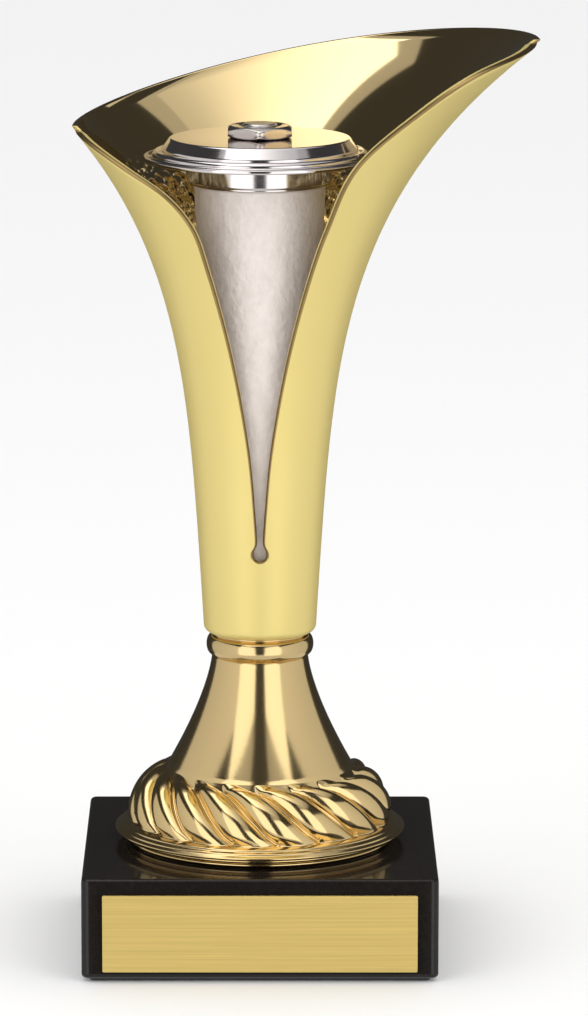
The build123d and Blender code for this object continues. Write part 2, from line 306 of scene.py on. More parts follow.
satinGold = platedMetal("satin gold", light=(0.82, 0.68, 0.26), deep=(0.78, 0.63, 0.22),
                        roughness=0.46, smear=0.05, smearScale=45.0, grainScale=2600.0, grain=0.5,
                        metallic=0.5)
# a dark gold used as painted shade along the slash's cut edges
paintedShadeEdgeGold = platedMetal("edge gold with painted shade", light=(0.40, 0.28, 0.12), deep=(0.34, 0.23, 0.09),
                       roughness=0.34, smear=0.05, smearScale=60.0, grainScale=2200.0, grain=0.15)
riserGold = platedMetal("polished riser gold", light=(0.82, 0.62, 0.31), deep=(0.77, 0.57, 0.27),
                        roughness=0.14, smear=0.06, smearScale=40.0, grainScale=1800.0, grain=0.15)
collarGold = platedMetal("collar gold", light=(0.78, 0.60, 0.30), deep=(0.74, 0.55, 0.27),
                         roughness=0.14, smear=0.05, smearScale=60.0, grainScale=2200.0, grain=0.15)
chromeCap = platedMetal("cap chrome", light=(0.80, 0.75, 0.74), deep=(0.75, 0.70, 0.69),
                        roughness=0.11, smear=0.05, smearScale=60.0, grainScale=2200.0, grain=0.1)
chromeRing = platedMetal("seat ring chrome", light=(0.82, 0.77, 0.76), deep=(0.77, 0.72, 0.71),
                         roughness=0.15, smear=0.05, smearScale=80.0, grainScale=2200.0, grain=0.1)
nickelSteel = platedMetal("nickel nut", light=(0.70, 0.64, 0.60), deep=(0.62, 0.56, 0.52),
                          roughness=0.20, smear=0.10, smearScale=150.0, grainScale=2500.0, grain=0.3)
rodSteel = platedMetal("zinc rod", light=(0.66, 0.63, 0.60), deep=(0.55, 0.52, 0.50),
                       roughness=0.30, smear=0.12, smearScale=200.0, grainScale=2500.0, grain=0.3)
zincSteel = platedMetal("zinc hardware", light=(0.68, 0.68, 0.66), deep=(0.60, 0.61, 0.62),
                        roughness=0.32, smear=0.12, smearScale=150.0, grainScale=2500.0, grain=0.3)


def mirrorInside():
    # mirror bright at the mouth; lower down it takes planishing marks, and its colour turns brown there as
    # painted shade of the deep inside
    look = {"light": (0.90, 0.70, 0.37), "deep": (0.86, 0.65, 0.33), "paintedShadeBrown": (0.66, 0.56, 0.34),
            "marks": 650.0, "shadeAndMarksFrom": seatHigh[2] * mm, "shadeAndMarksFull": (seatHigh[2] - 8) * mm,
            "strength": 0.6, "depth": 0.0006}
    material = platedMetal("mirror gold", look["light"], look["deep"], roughness=0.07,
                           smear=0.04, smearScale=30.0, grainScale=2500.0, grain=0.0)
    nodes, links = material.node_tree.nodes, material.node_tree.links
    spot = nodes.new("ShaderNodeTexCoord").outputs["Object"]
    parts = nodes.new("ShaderNodeSeparateXYZ")
    links.new(spot, parts.inputs[0])
    # how far down the inside a point lies; it drives both the painted brown shade and the planishing marks
    depth = nodes.new("ShaderNodeMapRange")
    depth.inputs["From Min"].default_value = look["shadeAndMarksFrom"]
    depth.inputs["From Max"].default_value = look["shadeAndMarksFull"]
    links.new(parts.outputs["Z"], depth.inputs["Value"])
    # painted shade: the colour is mixed towards brown lower down the inside
    shade = nodes.new("ShaderNodeMix")
    shade.data_type = "RGBA"
    shade.inputs["B"].default_value = (*look["paintedShadeBrown"], 1)
    links.new(depth.outputs["Result"], shade.inputs["Factor"])
    links.new(nodes["tone"].outputs["Color"], shade.inputs["A"])
    links.new(shade.outputs["Result"], nodes["Principled BSDF"].inputs["Base Color"])
    dents = nodes.new("ShaderNodeTexVoronoi")
    dents.feature = "SMOOTH_F1"
    dents.inputs["Scale"].default_value = look["marks"]
    links.new(spot, dents.inputs["Vector"])
    height = mathNode(nodes, links, "MULTIPLY", dents.outputs["Distance"], depth.outputs["Result"])
    addBump(nodes, links, nodes["Principled BSDF"], height, look["strength"], look["depth"])
    return material


def frostedSilver():
    look = {"light": (0.83, 0.76, 0.72), "deep": (0.74, 0.67, 0.63), "metallic": 0.10, "roughness": 0.58,
            "stretch": (1.0, 1.0, 0.7), "fleckScale": 1100.0, "patchScale": 330.0, "fleckShare": 0.6,
            "marks": (0.55, 0.95), "strength": 0.9, "depth": 0.0003}
    material, nodes, links, shader = newMaterial("frosted silver", look["light"], look["metallic"],
                                                 look["roughness"])
    spot = nodes.new("ShaderNodeTexCoord").outputs["Object"]
    tall = stretchNode(nodes, links, spot, look["stretch"])
    fleck = noiseNode(nodes, links, tall, look["fleckScale"], 3.0, 0.6)
    patch = noiseNode(nodes, links, tall, look["patchScale"], 3.0, 0.6)
    both = mathNode(nodes, links, "ADD", mathNode(nodes, links, "MULTIPLY", fleck, look["fleckShare"]), patch)
    rampColour(nodes, links, shader, both, look["deep"], look["light"], *look["marks"])
    addBump(nodes, links, shader, both, look["strength"], look["depth"])
    return material


def blackStone():
    look = {"body": (0.0100, 0.0082, 0.0072), "vein": (0.0145, 0.0118, 0.0102),
            "cloudScale": 30.0, "fleckScale": 900.0, "marks": (0.24, 0.46), "roughness": 0.10, "specular": 0.32}
    material, nodes, links, shader = newMaterial("polished black stone", look["body"], 0.0,
                                                 look["roughness"], Specular_IOR_Level=look["specular"])
    spot = nodes.new("ShaderNodeTexCoord").outputs["Object"]
    cloud = noiseNode(nodes, links, spot, look["cloudScale"], 8.0, 0.62)
    fleck = noiseNode(nodes, links, spot, look["fleckScale"], 2.0, 0.5)
    both = mathNode(nodes, links, "MULTIPLY", cloud, fleck)
    rampColour(nodes, links, shader, both, look["body"], look["vein"], *look["marks"])
    touch = addGroup(nodes, handled, Base_Roughness=look["roughness"], Smear=0.03,
                     Smear_Scale=25.0, Grain_Scale=900.0)
    links.new(touch.outputs["Roughness"], shader.inputs["Roughness"])
    return material


def brushedPlate():
    look = {"light": (0.87, 0.66, 0.23), "deep": (0.72, 0.53, 0.17), "roughness": 0.44,
            "stretch": (0.004, 1.0, 1.0), "lineScale": 7000.0, "broadScale": 2100.0, "lineShare": 0.7,
            "marks": (0.34, 0.62), "strength": 0.5, "depth": 0.00003}
    material, nodes, links, shader = newMaterial("brushed plate", look["light"], 1.0, look["roughness"])
    spot = nodes.new("ShaderNodeTexCoord").outputs["Object"]
    drawn = stretchNode(nodes, links, spot, look["stretch"])
    lines = noiseNode(nodes, links, drawn, look["lineScale"], 3.0, 0.65)
    broad = noiseNode(nodes, links, drawn, look["broadScale"], 2.0, 0.5)
    both = mathNode(nodes, links, "ADD", mathNode(nodes, links, "MULTIPLY", lines, look["lineShare"]),
                    mathNode(nodes, links, "MULTIPLY", broad, 1 - look["lineShare"]))
    rampColour(nodes, links, shader, both, look["deep"], look["light"], *look["marks"])
    addBump(nodes, links, shader, both, look["strength"], look["depth"])
    return material


def blackFelt():
    look = {"pile": (0.022, 0.022, 0.024), "fibre": (0.06, 0.06, 0.065), "roughness": 0.95, "sheen": 0.35,
            "fibreScale": 2600.0, "strength": 0.8, "depth": 0.0003}
    material, nodes, links, shader = newMaterial("black felt", look["pile"], 0.0, look["roughness"],
                                                 Sheen_Weight=look["sheen"])
    spot = nodes.new("ShaderNodeTexCoord").outputs["Object"]
    fibre = noiseNode(nodes, links, spot, look["fibreScale"], 5.0, 0.7)
    rampColour(nodes, links, shader, fibre, look["pile"], look["fibre"])
    addBump(nodes, links, shader, fibre, look["strength"], look["depth"])
    return material


def whiteTape():
    look = {"colour": (0.82, 0.81, 0.77), "roughness": 0.7, "strength": 0.4, "depth": 0.00005}
    material, nodes, links, shader = newMaterial("foam tape", look["colour"], 0.0, look["roughness"])
    touch = addGroup(nodes, handled, Base_Roughness=look["roughness"], Smear=0.1,
                     Smear_Scale=300.0, Grain_Scale=4000.0)
    links.new(touch.outputs["Roughness"], shader.inputs["Roughness"])
    addBump(nodes, links, shader, touch.outputs["Height"], look["strength"], look["depth"])
    return material


mirrorGold = mirrorInside()
silverCone = frostedSilver()
stone = blackStone()
plateBrass = brushedPlate()
felt = blackFelt()
tape = whiteTape()
print("materials made")

# ---- cup
cup = {
    "spigotDrop": 2.0,              # the spigot hangs this far under the foot
    "footRadius": 11.45, "mouthRadius": 57.1, "taper": 7.4, "power": 4, "height": 122.1,
    "wall": 1.6, "rimWall": 0.9, "slashWall": 1.5, "floor": 3.0, "footRound": 1.6,
    "tipDrop": 17.5, "rimBow": 2.0,
    "slotLevel": 18.2, "slotHalf": 0.45, "holeRadius": 1.5, "holeReach": 2.3,
    "slash": [(1.0, 26.5), (2.2, 39.5), (5.7, 59.2), (10.4, 77.2), (13.5, 86.3)],      # half width, height
    "leftFlare": [(0.21, 0.36), (0.57, 0.67)],      # shares of the way on from there to the rim's point
    "rightFlare": [(0.13, 0.36), (0.40, 0.66), (0.70, 0.90)],
    "lip": 0.40,                    # how far the rounded edge stands past the wall
    "tipReach": 5.0,                # the lip thins out within this distance of a rim's point
    "evening": 0.3, "rows": 62, "rowPower": 0.85, "coarseStep": 0.8, "fineStep": 0.14, "fineReach": 14.0,
    "rimTries": 60, "levelTries": 30,       # rounds that settle a height which depends on itself
}
cup["foot"] = cupLow[2] + cup["spigotDrop"]
cup["flare"] = cup["mouthRadius"] - cup["footRadius"] - cup["taper"]


def cupRadius(h):
    share = h / cup["height"]
    return cup["footRadius"] + cup["taper"] * share + cup["flare"] * share ** cup["power"]


def cupPoint(turn, h, depth):
    # a point in the cup's wall; depth runs square to the outer surface, inwards
    share = h / cup["height"]
    slope = (cup["taper"] + cup["flare"] * cup["power"] * share ** (cup["power"] - 1)) / cup["height"]
    length = np.sqrt(1 + slope**2)
    return circle(cupRadius(h) - depth / length, cup["foot"] + h + depth * slope / length, turn)


def slashSide(flare, tip):
    # half width against height, from under the slot's end up to the tip
    shoulder = cup["slash"][-1]
    points = [(cup["slotHalf"], cup["slotLevel"])] + cup["slash"]
    points += [(shoulder[0] + (tip[0] - shoulder[0]) * a, shoulder[1] + (tip[1] - shoulder[1]) * b)
               for a, b in flare]
    curve = smoothCurve(points + [tip])
    run = np.gradient(curve, axis=0)
    run /= np.linalg.norm(run, axis=1)[:, None]
    curve = curve + cup["lip"] * np.stack([run[:, 1], -run[:, 0]], axis=-1)
    curve[-1] = tip
    end = curve[0]
    bend = np.linspace(0, math.pi / 2, 14)[:-1]
    slotEnd = np.stack([end[0] * np.sin(bend), end[1] - end[0] * np.cos(bend)], axis=-1)
    return np.vstack([slotEnd, curve])


def cupEdge():
    # the trimmed edge of the wall as (turn, height), from the slot's end round by the right tip
    rightHeight = cup["height"] - cup["lip"]
    leftHeight = rightHeight - cup["tipDrop"]
    tipRight = (cupRadius(rightHeight), rightHeight)
    tipLeft = (cupRadius(leftHeight), leftHeight)

    def turns(outline, sign):
        away = np.arcsin(np.clip(outline[:, 0] / cupRadius(outline[:, 1]), 0, 1))
        return np.stack([-math.pi / 2 + sign * away, outline[:, 1]], axis=-1)

    right = turns(slashSide(cup["rightFlare"], tipRight), 1)
    left = turns(slashSide(cup["leftFlare"], tipLeft), -1)
    left[:, 0] += 2 * math.pi
    span = tipRight[0] + tipLeft[0]
    back = []
    for turn in np.linspace(0, math.pi, 160)[1:-1]:
        h = rightHeight
        for _ in range(cup["rimTries"]):
            share = (cupRadius(h) * math.cos(turn) + tipLeft[0]) / span
            want = leftHeight + (rightHeight - leftHeight) * share + cup["rimBow"] * 4 * share * (1 - share)
            h += 0.5 * (want - h)
        back.append((turn, h))
    return np.vstack([right, back, left[:0:-1]])


def respaced(edge):
    # spreads the edge's points evenly, closer together round the slot's end
    spots = cupPoint(edge[:, 0], edge[:, 1], 0.0)
    gaps = np.linalg.norm(np.diff(np.vstack([spots, spots[:1]]), axis=0), axis=1)
    near = np.clip((edge[:, 1] - cup["slotLevel"] - cup["holeRadius"]) / cup["fineReach"], 0, 1)
    step = cup["fineStep"] + (cup["coarseStep"] - cup["fineStep"]) * near
    along = np.concatenate([[0], np.cumsum(gaps / step)])
    closed = np.vstack([edge, [edge[0, 0] + 2 * math.pi, edge[0, 1]]])
    rightTip = int(np.argmax(edge[:, 1]))
    leftTip = int(np.argmin(abs(edge[:, 0] - math.pi)))
    marks = [0, along[rightTip], along[leftTip], along[-1]]
    spaced = []
    for a, b in zip(marks[:-1], marks[1:]):
        count = int(round(b - a))
        spaced.extend(a + (b - a) * np.arange(count) / count)
    return np.interp(spaced, along, closed[:, 0]), np.interp(spaced, along, closed[:, 1])


def openHole(turn, h):
    # spreads the slot's end into the small round hole that stops the slash
    radius = cupRadius(h)
    across = radius * (np.mod(turn + math.pi * 1.5, 2 * math.pi) - math.pi)
    up = h - cup["slotLevel"]
    away = np.sqrt(across**2 + up**2) + 1e-9
    wide, narrow = cup["holeRadius"] + cup["lip"], cup["slotHalf"] + cup["lip"]
    grown = np.sqrt(away**2 + (wide**2 - narrow**2) * np.exp(-(away / cup["holeReach"]) ** 2))
    return turn + across * (grown / away - 1) / radius, cup["slotLevel"] + up * grown / away


def buildCup():
    turn, top = respaced(cupEdge())
    share = np.linspace(0, 1, cup["rows"]) ** cup["rowPower"]
    wall, foot, bend = cup["wall"], cup["foot"], cup["footRound"]
    even = turn[0] + np.linspace(0, 2 * math.pi, len(turn), endpoint=False)

    def spread(s):
        # the columns even out towards the floor, so none of them meet there
        return turn + (even - turn) * cup["evening"] * (1 - s) ** 2

    def surface(low, high, deep, thin):
        return [cupPoint(*openHole(spread(s), low + (high - low) * s), deep + (thin - deep) * s ** 3)
                for s in share]

    spots = cupPoint(turn, top, 0.0)
    rightTip, leftTip = int(np.argmax(top)), int(np.argmin(abs(turn - math.pi)))
    fromTip = [np.linalg.norm(spots - spots[tip], axis=1) / cup["tipReach"] for tip in (rightTip, leftTip)]
    sharpen = np.clip(fromTip[0], 0.05, 1) * np.clip(fromTip[1], 0.05, 1)   # dies away into both points
    slashed = np.ones(len(turn))
    slashed[rightTip:leftTip + 1] = 0
    thin = cup["rimWall"] + (cup["slashWall"] - cup["rimWall"]) * slashed * sharpen
    innerTop = top.copy()           # the edge is cut level, so the inside ends as high as the outside
    for _ in range(cup["levelTries"]):
        innerTop = top - (cupPoint(turn, innerTop, thin)[:, 2] - foot - innerTop)
    outer, inner = surface(bend, top, 0.0, 0.0), surface(cup["floor"], innerTop, wall, thin)
    middle = (outer[-1] + inner[-1]) / 2
    across = (outer[-1] - inner[-1]) / 2
    along = np.roll(middle, -1, axis=0) - np.roll(middle, 1, axis=0)
    out = np.cross(across, along)
    out /= np.linalg.norm(out, axis=1)[:, None]
    lift = out * (cup["lip"] * sharpen)[:, None]
    lip = [middle + across * math.cos(a) + lift * math.sin(a) for a in np.linspace(0, math.pi, 11)[1:-1]]
    flatRadius = float(cupRadius(bend)) - bend
    under = foot - cup["spigotDrop"]
    below = rounded([(holeRadius, foot + cup["floor"]), (holeRadius, under), (spigotRadius, under),
                     (spigotRadius, foot), (flatRadius, foot)], 0.25, loop=False)
    below += [(flatRadius + bend * math.cos(a), foot + bend + bend * math.sin(a))
              for a in np.linspace(-math.pi / 2, 0, 9)[1:-1]]
    floorRim = float(cupRadius(cup["floor"])) - wall
    floor = [(floorRim - 0.4, foot + cup["floor"]), (floorRim - 3.0, foot + cup["floor"])]

    def flat(points):
        return [circle(r, z, spread(0)) for r, z in points]

    rings = flat(below) + outer + lip + inner[::-1] + flat(floor)
    piece = skin("cup_shell_trumpet", rings, satinGold, loop=True)
    piece.data.materials.append(mirrorGold)
    piece.data.materials.append(paintedShadeEdgeGold)
    index = np.zeros((len(rings), len(turn)), int)      # which material each face takes, a row to a ring
    lipStart = len(below) + len(outer) - 1
    index[lipStart:] = 1
    # on the slash sides the lip's outer half takes the dark edge gold, painted shade along the cut edge, and
    # its inner half takes the satin gold
    for side in (slice(0, rightTip), slice(leftTip, None)):
        index[lipStart:lipStart + len(lip) + 1, side] = 0
        index[lipStart:lipStart + len(lip) // 2 + 1, side] = 2
    piece.data.polygons.foreach_set("material_index", index.ravel().tolist())
    return place(piece, "cup_shell")


cupPiece = buildCup()
print("cup made:", len(cupPiece.data.polygons), "faces")

# ---- riser, with heights over its foot
riser = {
    "lobes": 18, "perLobe": 25, "twist": 38.0,
    "square": 2.2, "round": 0.7, "tipReach": 3.4,       # a lobe's section and how long its rounded top is
    "crest": [(27.0, 4.5), (27.2, 6.6), (26.5, 9.4), (25.1, 11.9), (23.3, 13.7), (21.5, 14.7), (20.1, 14.9),
              (19.1, 15.5)],
    "valley": [(25.6, 4.5), (25.3, 6.2), (24.4, 8.4), (23.1, 10.4), (21.7, 12.1), (20.6, 13.2), (19.8, 14.3),
               (19.1, 15.5)],
    "drum": 26.9, "flange": riserHigh[0], "beads": [(27.4, 0.65), (28.0, 1.6)],
    "beadDepth": 0.6, "beadHeight": 0.45, "cornerRound": 0.12,
    "shoulder": 15.6, "neckFoot": 19.1, "neckTop": 9.85, "neckPower": 1.446,
    "wall": 2.6, "web": 5.0, "spigotRise": 1.5,
    "hollow": [(20.0, 11.5, 0.4), (24.0, 6.0, 0.8), (24.0, 0.0, 1.0)],      # radius, height, share of twist
}


def buildRiser():
    low, top = riserLow[2], collarLow[2]
    around = riser["lobes"] * riser["perLobe"]
    turn = np.linspace(0, 2 * math.pi, around, endpoint=False)
    across = np.mod(turn * riser["lobes"] / (2 * math.pi), 1.0) * 2 - 1     # -1 and 1 in the valleys
    twist = math.radians(riser["twist"])
    crest, valley = smoothCurve(riser["crest"], 12), smoothCurve(riser["valley"], 12)
    run = np.linalg.norm(np.diff(crest, axis=0), axis=1)
    fromTip = np.append(np.cumsum(run[::-1])[::-1], 0)

    beads = [(riser["drum"], 0.0)]
    for bulge, middle in riser["beads"]:        # two fine beads under the lip
        beads += [(bulge - riser["beadDepth"] * (1 - math.cos(a)), middle + riser["beadHeight"] * math.sin(a))
                  for a in np.linspace(-math.pi / 2, math.pi / 2, 9)]
    flange = riser["flange"]                    # the lip, and the steps over it
    lip = [(27.4, 2.15), (flange - 0.3, 2.2), (flange, 2.45), (flange, 2.75), (29.2, 3.15), (29.05, 3.45),
           (28.35, 3.75), (28.2, 4.05), (27.4, 4.4)]
    bands = beads + rounded(lip, riser["cornerRound"], loop=False, steps=2)
    rings = [circle(r, low + z, turn + twist) for r, z in bands]
    for i, (peak, dip) in enumerate(zip(crest, valley)):
        lean = twist * (1 - i / (len(crest) - 1))
        narrow = math.sqrt(max(1 - max(1 - fromTip[i] / riser["tipReach"], 0) ** 2, 1e-6))
        inside = np.clip(1 - np.abs(across / narrow) ** riser["square"], 0, 1)
        swell = inside ** riser["round"]
        radius, rise = dip[0] + (peak[0] - dip[0]) * swell, dip[1] + (peak[1] - dip[1]) * swell
        rings.append(circle(radius, low + rise, turn + lean))
    neckFoot = low + riser["shoulder"]
    neck = []
    for share in np.linspace(0, 1, 30):
        flare = (riser["neckFoot"] - riser["neckTop"]) * (1 - share) ** riser["neckPower"]
        neck.append((riser["neckTop"] + flare, neckFoot + (top - neckFoot) * share))
    spigotTop = top + riser["spigotRise"]
    crown = rounded([neck[-1], (spigotRadius, top), (spigotRadius, spigotTop), (holeRadius, spigotTop),
                     (holeRadius, top - riser["web"])], 0.2, loop=False)
    inside = [(r - riser["wall"], z) for r, z in neck if z < top - riser["web"] - 0.5][::-1]
    rings += [circle(r, z, turn) for r, z in neck[:-1] + crown + inside]
    rings += [circle(r, low + z, turn + twist * k) for r, z, k in riser["hollow"]]
    piece = skin("riser_bell_gadrooned", rings, riserGold, loop=True)
    return place(piece, "riser_bell")


riserPiece = buildRiser()
print("riser made:", len(riserPiece.data.polygons), "faces")


# ---- collar ring, seat ring and cap
def buildCollar():
    low, high = collarLow[2], collarHigh[2]
    look = {"bead": collarHigh[0], "groove": 9.7, "beadHeight": 4.0, "fullness": 0.8,
            "top": 10.1, "foot": 9.6, "bore": spigotRadius + 0.1, "cornerRound": 0.12}
    bend = np.linspace(-math.pi / 2, math.pi / 2, 25)
    middle = low + look["beadHeight"] / 2
    bead = [(look["groove"] + (look["bead"] - look["groove"]) * math.cos(a) ** look["fullness"],
             middle + look["beadHeight"] / 2 * math.sin(a)) for a in bend]
    rest = rounded([bead[-1], (look["groove"], low + look["beadHeight"] + 0.05), (look["top"], high - 0.3),
                    (look["top"], high), (look["bore"], high), (look["bore"], low), (look["foot"], low)],
                   look["cornerRound"], loop=False)
    piece = skin("collar_ring_bead", turned(bead + rest[1:]), collarGold, loop=True)
    return place(piece, "collar_ring")


def buildSeatRing():
    low, high = seatLow[2], seatHigh[2]
    look = {"spigot": 3.0, "bore": 9.0, "spigotRadius": 11.9, "outside": seatHigh[0], "relief": 0.5}
    shoulder, bore, outside = low + look["spigot"], look["bore"], look["outside"]
    profile = rounded([(bore, low), (look["spigotRadius"], low), (look["spigotRadius"], shoulder),
                       (outside - look["relief"], shoulder), (outside - look["relief"], shoulder + 0.5),
                       (outside, shoulder + 0.7), (outside, high), (bore, high)], 0.22)
    piece = skin("seat_ring_band", turned(profile), chromeRing, loop=True)
    return place(piece, "seat_ring")


def buildCap():
    low, high = capLow[2], capHigh[2]
    look = {"spigot": 3.0, "spigotRadius": 8.9, "flange": capHigh[0], "lip": 0.9,
            "bead": 21.9, "beadRadius": 1.0, "step": 19.9, "stepRise": 1.5, "top": 18.3}
    under = low + look["spigot"]
    lip = under + look["lip"]
    bend = np.linspace(-0.1, math.pi - 0.4, 12)
    bead = [(look["bead"] - 0.95 + look["beadRadius"] * math.cos(a),
             lip + 0.15 + look["beadRadius"] * math.sin(a), 0.0) for a in bend]
    profile = rounded([(holeRadius, high), (holeRadius, low), (look["spigotRadius"], low),
                       (look["spigotRadius"], under), (look["flange"], under, 0.4),
                       (look["flange"], lip, 0.4)] + bead
                      + [(look["step"], lip + look["stepRise"], 0.25), (look["top"], high, 0.35)], 0.2)
    piece = skin("cap_plate_stepped", turned(profile, 256), chromeCap, loop=True)
    return place(piece, "cap_plate")


buildCollar()
buildSeatRing()
buildCap()
print("collar, seat ring and cap made")


# ---- silver cone
def buildCone():
    look = {"foot": 9.2, "top": 13.4, "wall": 1.2, "floor": 2.0, "rows": 230, "around": 240,
            "beat": 0.07, "broad": (0.9, 0.75), "fine": (2.3, 1.9), "fineShare": 0.6}
    low, high = coneLow[2], coneHigh[2]
    turn = np.linspace(0, 2 * math.pi, look["around"], endpoint=False)

    def hammered(spot, wide, tall):
        return noise.noise(Vector((spot.x * wide, spot.y * wide, spot.z * tall)))

    side = []
    for n in range(look["rows"]):
        share = n / (look["rows"] - 1)
        z = low + 0.3 + (high - low - 0.6) * share
        radius = look["foot"] + (look["top"] - look["foot"]) * share - look["beat"]
        ring = []
        for a in turn:
            spot = Vector((radius * math.cos(a), radius * math.sin(a), z))
            dent = hammered(spot, *look["broad"]) + look["fineShare"] * hammered(spot, *look["fine"])
            beaten = radius + look["beat"] * max(-1.0, min(1.0, dent))
            ring.append((beaten * math.cos(a), beaten * math.sin(a), z))
        side.append(ring)
    mouth = look["top"] - look["wall"]
    bore = look["foot"] - look["wall"]
    inside = rounded([(look["top"] - 0.3, high), (mouth, high), (bore, low + look["floor"]),
                      (holeRadius, low + look["floor"]), (holeRadius, low), (look["foot"] - 0.3, low)],
                     0.15, loop=False)
    rings = side + turned(inside, look["around"])
    piece = skin("insert_cone_hammered", rings, silverCone, loop=True)
    return place(piece, "insert_cone")


buildCone()
print("cone made")


# ---- rod and nuts
def buildRod():
    look = {"pitch": 1.25, "deep": 0.72, "flat": 0.125, "chamfer": 0.8, "middle": 1.5,
            "around": 32, "perTurn": 6}
    low, high, major = rodLow[2], rodHigh[2], rodHigh[0]
    turn = np.linspace(0, 2 * math.pi, look["around"], endpoint=False)
    rings = []
    for z in np.append(np.arange(low, high, look["pitch"] / look["perTurn"]), high):
        phase = np.mod(z / look["pitch"] - turn / (2 * math.pi), 1.0)
        tooth = np.clip(np.abs(phase * 2 - 1) * (1 + 2 * look["flat"]) - look["flat"], 0, 1)
        radius = major - look["deep"] * (1 - tooth)
        end = min(z - low, high - z)
        radius = np.minimum(radius, major - max(0.0, look["chamfer"] - end))
        rings.append(circle(radius, z, turn))
    crown = [circle(r, high, turn) for r in (major - look["chamfer"] - 0.2, look["middle"])]
    piece = skin("tie_rod_threaded", rings + crown, rodSteel)
    return place(piece, "tie_rod")


def buildNut(name, node, low, high, material):
    look = {"flats": 13.0, "washerFace": 5.9, "bore": 4.05, "sink": 4.55,
            "sharp": 90, "chamferSlope": 1.9, "around": 240}
    turn = np.linspace(0, 2 * math.pi, look["around"], endpoint=False)
    reach = sum(np.abs(np.cos(turn - math.radians(k))) ** look["sharp"] for k in (0, 60, 120))
    hexagon = look["flats"] / 2 * reach ** (-1 / look["sharp"])
    levels = [0, 0.06, 0.14, 0.22, 0.32, 0.44, 0.6]         # down the chamfered corners
    half = []
    for radius, z in ((look["bore"], 0.5), (look["bore"], 0.35), (look["sink"], 0.0)):
        half.append((np.full(len(turn), radius), z))
    half.append((np.full(len(turn), look["washerFace"]), 0.0))
    for z in levels:
        half.append((np.minimum(hexagon, look["washerFace"] + 0.12 + z * look["chamferSlope"]), z))
    rings = [circle(r, low + z, turn) for r, z in half] + [circle(hexagon, (low + high) / 2, turn)]
    rings += [circle(r, high - z, turn) for r, z in half[::-1]]
    piece = skin(name, rings, material, loop=True)
    return place(piece, node)


buildRod()
buildNut("top_nut_hexagon", "top_nut", nutLow[2], nutHigh[2], nickelSteel)
buildNut("base_nut_hexagon", "base_nut", baseNutLow[2], baseNutHigh[2], zincSteel)
print("rod and nuts made")


# ---- stone, plate and felt
def rectangle(halfX, halfY, corner, inset=0.0, perCorner=10, perSide=24):
    # a rounded rectangle, anticlockwise; every inset gives the same number of points
    corner = max(corner, inset + 0.05)
    arcs = []
    for quarter, (sx, sy) in enumerate(((1, 1), (-1, 1), (-1, -1), (1, -1))):
        bend = (quarter + np.linspace(0, 1, perCorner)) * math.pi / 2
        arcs.append(np.stack([sx * (halfX - corner) + (corner - inset) * np.cos(bend),
                              sy * (halfY - corner) + (corner - inset) * np.sin(bend)], axis=-1))
    outline = []
    for arc, following in zip(arcs, arcs[1:] + arcs[:1]):
        outline.extend(arc)
        outline.extend(arc[-1] + (following[0] - arc[-1]) * n / perSide for n in range(1, perSide))
    return np.array(outline)


def roundedSlab(halfX, halfY, corner, low, high, edge):
    # (outline, level) rings from the bottom face, up the sides, to the top face
    bend = np.linspace(0, math.pi / 2, 7)
    levels = [(edge * 2.0, low), (edge * 1.2, low)]         # the extra rings keep the flats flat
    levels += [(edge - edge * math.sin(a), low + edge - edge * math.cos(a)) for a in bend]
    levels += [(0.0, low + edge * 1.3), (0.0, high - edge * 1.3)]
    levels += [(edge - edge * math.cos(a), high - edge + edge * math.sin(a)) for a in bend]
    levels += [(edge * 1.2, high), (edge * 2.0, high)]
    return [(rectangle(halfX, halfY, corner, inset), z) for inset, z in levels]


def level(outline, z):
    return np.column_stack([outline, np.full(len(outline), z)])


def buildStone():
    look = {"corner": 1.5, "edge": 0.85, "pocket": 13.0, "pocketDepth": 12.5,
            "joined": 30.0}         # where the square outline gives way to rings
    half, low, high = stoneHigh[0], stoneLow[2], stoneHigh[2]
    slab = roundedSlab(half, half, look["corner"], low, high, look["edge"])
    rings = [level(outline, z) for outline, z in slab]
    way = np.arctan2(slab[0][0][:, 1], slab[0][0][:, 0])
    ceiling = low + look["pocketDepth"]
    bore = rounded([(look["joined"], high), (holeRadius, high), (holeRadius, ceiling),
                    (look["pocket"], ceiling), (look["pocket"], low), (look["joined"], low)], 0.3, loop=False)
    rings += [level(np.column_stack([r * np.cos(way), r * np.sin(way)]), z) for r, z in bore]
    piece = skin("base_block_stone", rings, stone, loop=True)
    return place(piece, "base_block")


def buildPlate():
    look = {"corner": 0.3, "edge": 0.1}
    halfX = plateHigh[0]
    halfZ, middle = (plateHigh[2] - plateLow[2]) / 2, (plateHigh[2] + plateLow[2]) / 2
    thick = plateHigh[1] - plateLow[1]
    rings = []
    for outline, depth in roundedSlab(halfX, halfZ, look["corner"], 0.0, thick, look["edge"]):
        rings.append(np.column_stack([outline[:, 0], np.full(len(outline), plateHigh[1] - depth),
                                      middle + outline[:, 1]]))
    piece = skin("engraving_plate_brushed", rings, plateBrass)
    return place(piece, "engraving_plate")


def buildFelt():
    look = {"corner": 1.2, "edge": 0.3, "fuzz": 0.05, "fuzzScale": 0.8, "fuzzTall": 3}
    half, low, high = feltHigh[0], feltLow[2], feltHigh[2]
    inner = half - look["fuzz"]
    rings = []
    for outline, z in roundedSlab(inner, inner, look["corner"], low, high, look["edge"]):
        spots = np.column_stack([outline * look["fuzzScale"], np.full(len(outline), z * look["fuzzTall"])])
        fuzz = np.array([look["fuzz"] * noise.noise(Vector(spot)) for spot in spots])
        rings.append(level(outline * (1 + fuzz[:, None] / half), z))
    piece = skin("felt_pad_sheet", rings, felt)
    return place(piece, "felt_pad")


